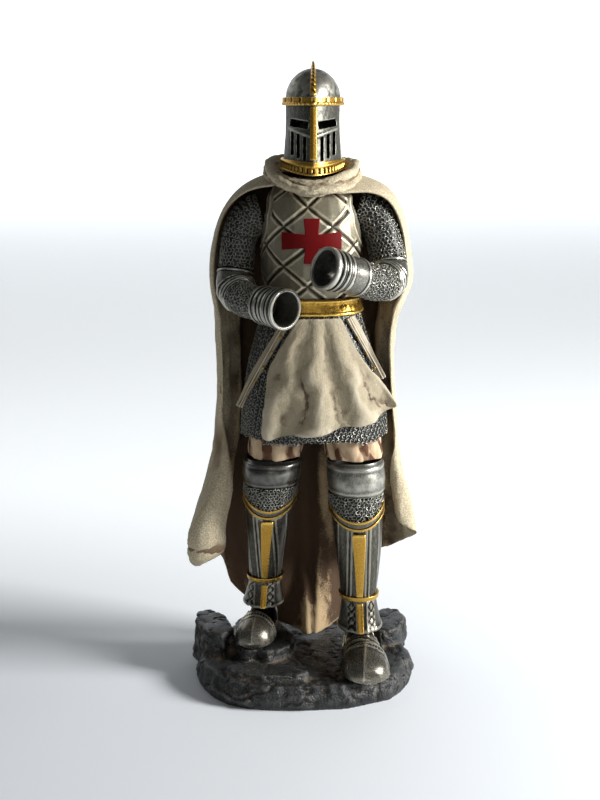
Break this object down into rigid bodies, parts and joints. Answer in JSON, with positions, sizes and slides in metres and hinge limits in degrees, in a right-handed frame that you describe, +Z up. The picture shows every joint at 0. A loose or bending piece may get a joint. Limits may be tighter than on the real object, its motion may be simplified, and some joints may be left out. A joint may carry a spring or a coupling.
{
  "type": "suit of knight's armour with cloak on a rock stand",
  "caption": "Statuette-size suit of plate and mail with closed helm, quilted coat with a plain cross, gold belt, cloth flap and long cloak, standing empty on a rock.",
  "frame": {"origin": "middle of the rock stand's flat underside, under the helm", "axes": "+Z up, -Y the way the suit faces, +X the wearer's left"},
  "size_m": [0.1161, 0.0939, 0.3001],
  "materials": {
    "worn_steel": "dark silver, dry-brushed on the raised edges, near black in the recesses",
    "blackened_steel": "blackened plate",
    "mail": "silver rings over near black",
    "gold": "old gold with a brown wash",
    "quilted_panel": "warm grey-gold quilted lozenges with pale raised edges",
    "cream_cloth": "cream cloth with a brown wash in the folds",
    "breeches_cloth": "peach-cream cloth with brown stains",
    "cloak_cloth": "cream cloth with a brown wash, dark brown inside",
    "red_enamel": "deep red paint",
    "dark_rock": "dark grey rock with brown grit"
  },
  "bodies": {
    "root": {"ankle_band_left": "gold", "ankle_band_right": "gold", "ankle_plate_left": "worn_steel", "ankle_plate_right": "worn_steel", "ankle_rib_left": "gold", "ankle_rib_right": "gold", "breeches_left": "breeches_cloth", "breeches_right": "breeches_cloth", "cloak": "cloak_cloth", "cloak_cowl": "cloak_cloth", "coat_front_skirt": "cream_cloth", "cuff_left": "worn_steel", "cuff_right": "worn_steel", "elbow_guard_left": "worn_steel", "elbow_guard_right": "worn_steel", "gold_belt": "gold", "greave_left": "worn_steel", "greave_rib_left": "gold", "greave_rib_right": "gold", "greave_right": "worn_steel", "helm_brow_band": "gold", "helm_comb": "gold", "helm_face_plate": "worn_steel", "helm_nape_plate": "worn_steel", "helm_prow_rib": "gold", "helm_rim_trim": "gold", "helm_skull": "worn_steel", "hip_strap_left": "cream_cloth", "hip_strap_right": "cream_cloth", "knee_cop_left": "worn_steel", "knee_cop_right": "worn_steel", "knee_edge_lower_left": "gold", "knee_edge_lower_right": "gold", "knee_edge_upper_left": "gold", "knee_edge_upper_right": "gold", "knee_mail_left": "mail", "knee_mail_right": "mail", "knee_plate_left": "blackened_steel", "knee_plate_right": "blackened_steel", "mail_forearm_left": "mail", "mail_forearm_right": "mail", "mail_skirt": "mail", "mail_sleeve_left": "mail", "mail_sleeve_right": "mail", "quilted_coat": "quilted_panel", "red_cross": "red_enamel", "rock_stand": "dark_rock", "sabaton_left": "worn_steel", "sabaton_right": "worn_steel", "toe_cap_left": "worn_steel", "toe_cap_right": "worn_steel"}
  },
  "joints": []
}
